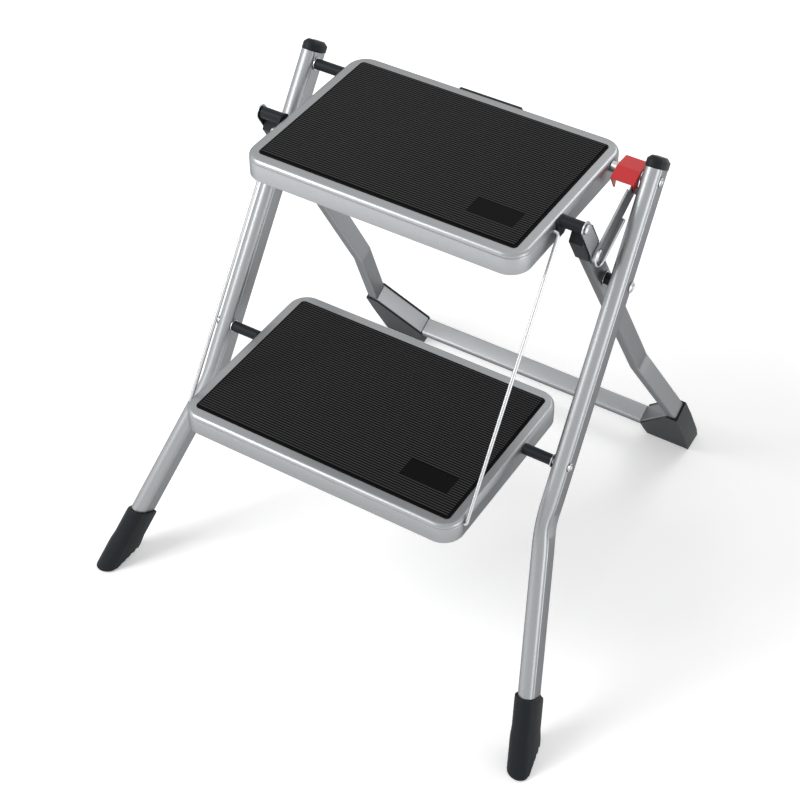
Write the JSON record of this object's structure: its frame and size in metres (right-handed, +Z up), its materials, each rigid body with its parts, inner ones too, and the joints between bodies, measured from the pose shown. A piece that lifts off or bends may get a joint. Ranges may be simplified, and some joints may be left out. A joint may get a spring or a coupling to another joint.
{
  "type": "folding step stool",
  "caption": "Free-standing folding step stool: tubular legs that cross like scissors, ribbed treads one above the other, levelling rods, side links, a lock strut and a red catch.",
  "frame": {"origin": "centre of the bounding box on the floor, with the stool open", "axes": "+Z up, +Y to the rear, +X to the right-hand side that carries the lock strut"},
  "size_m": [0.5358, 0.5346, 0.5066],
  "materials": {
    "silver_paint": "silver metallic satin paint",
    "black_plastic": "fine moulded texture",
    "black_rubber": "ribbed",
    "bright_zinc": "bright zinc plate",
    "red_plastic": "moulded"
  },
  "bodies": {
    "front_frame": {"front_leg_left": "silver_paint", "front_leg_right": "silver_paint", "leg_cap_left": "black_plastic", "leg_cap_right": "black_plastic", "leg_boot_left": "black_plastic", "leg_boot_right": "black_plastic", "top_axle": "bright_zinc", "lower_axle": "bright_zinc", "lower_sleeve_left": "black_plastic", "lower_sleeve_right": "black_plastic", "lower_washer_left": "bright_zinc", "lower_washer_right": "bright_zinc", "top_sleeve_left": "black_plastic", "top_washer_left": "bright_zinc", "top_spacer_inner_right": "bright_zinc", "top_spacer_outer_right": "bright_zinc", "scissor_pin_left": "bright_zinc", "scissor_pin_right": "bright_zinc", "scissor_bush_left": "black_plastic", "scissor_bush_right": "black_plastic", "scissor_washer_left": "bright_zinc", "scissor_washer_right": "bright_zinc"},
    "top_step": {"top_tread": "silver_paint", "top_mat": "black_rubber", "hand_grip": "black_plastic", "link_bush_left": "black_plastic", "link_bush_right": "black_plastic"},
    "lower_step": {"lower_tread": "silver_paint", "lower_mat": "black_rubber"},
    "rod_left": {"level_rod_left": "bright_zinc"},
    "rod_right": {"level_rod_right": "bright_zinc"},
    "rear_leg_frame": {"rear_frame": "silver_paint", "rear_foot_left": "black_plastic", "rear_foot_right": "black_plastic", "rear_cap_left": "black_plastic", "rear_cap_right": "black_plastic", "link_rivet_left": "bright_zinc", "link_rivet_right": "bright_zinc"},
    "link_left": {"link_plate_left": "bright_zinc", "link_stud_left": "bright_zinc"},
    "link_right": {"link_plate_right": "bright_zinc", "link_stud_right": "bright_zinc"},
    "strut": {"lock_strut": "silver_paint", "catch_pin": "bright_zinc"},
    "catch": {"lock_catch": "red_plastic"}
  },
  "joints": [
    {"name": "fold", "type": "hinge", "parent": "front_frame", "child": "top_step", "pos_m": [0, 0.0729, 0.4825], "axis": [1, 0, 0], "range_deg": [0, 50.5]},
    {"name": "lower_step_turn", "type": "hinge", "parent": "front_frame", "child": "lower_step", "pos_m": [0, -0.08623, 0.25086], "axis": [1, 0, 0], "range_deg": [0, 50.5]},
    {"name": "rear_leg_turn", "type": "hinge", "parent": "front_frame", "child": "rear_leg_frame", "pos_m": [0, 0.024, 0.3934], "axis": [1, 0, 0], "range_deg": [-52, 0]},
    {"name": "rod_turn_left", "type": "hinge", "parent": "top_step", "child": "rod_left", "pos_m": [0, -0.0416, 0.4815], "axis": [1, 0, 0], "range_deg": [-50.5, 0]},
    {"name": "rod_turn_right", "type": "hinge", "parent": "top_step", "child": "rod_right", "pos_m": [0, -0.0416, 0.4815], "axis": [1, 0, 0], "range_deg": [-50.5, 0]},
    {"name": "link_turn_left", "type": "hinge", "parent": "rear_leg_frame", "child": "link_left", "pos_m": [0, -0.00291, 0.43964], "axis": [1, 0, 0], "range_deg": [0, 155]},
    {"name": "link_turn_right", "type": "hinge", "parent": "rear_leg_frame", "child": "link_right", "pos_m": [0, -0.00291, 0.43964], "axis": [1, 0, 0], "range_deg": [0, 155]},
    {"name": "strut_turn", "type": "hinge", "parent": "rear_leg_frame", "child": "strut", "pos_m": [0, -0.00291, 0.43964], "axis": [1, 0, 0], "range_deg": [0, 107.5]},
    {"name": "catch_lift", "type": "hinge", "parent": "strut", "child": "catch", "pos_m": [0, 0.0633, 0.4735], "axis": [1, 0, 0], "range_deg": [0, 10]}
  ],
  "couplings": [
    {"joint": "lower_step_turn", "follows": "fold", "ratio": 1},
    {"joint": "rear_leg_turn", "follows": "fold", "ratio": -1.0295},
    {"joint": "rod_turn_left", "follows": "fold", "ratio": -1},
    {"joint": "rod_turn_right", "follows": "fold", "ratio": -1},
    {"joint": "link_turn_left", "follows": "fold", "ratio": 3.0587},
    {"joint": "link_turn_right", "follows": "fold", "ratio": 3.0587},
    {"joint": "strut_turn", "follows": "fold", "ratio": 2.1186}
  ]
}
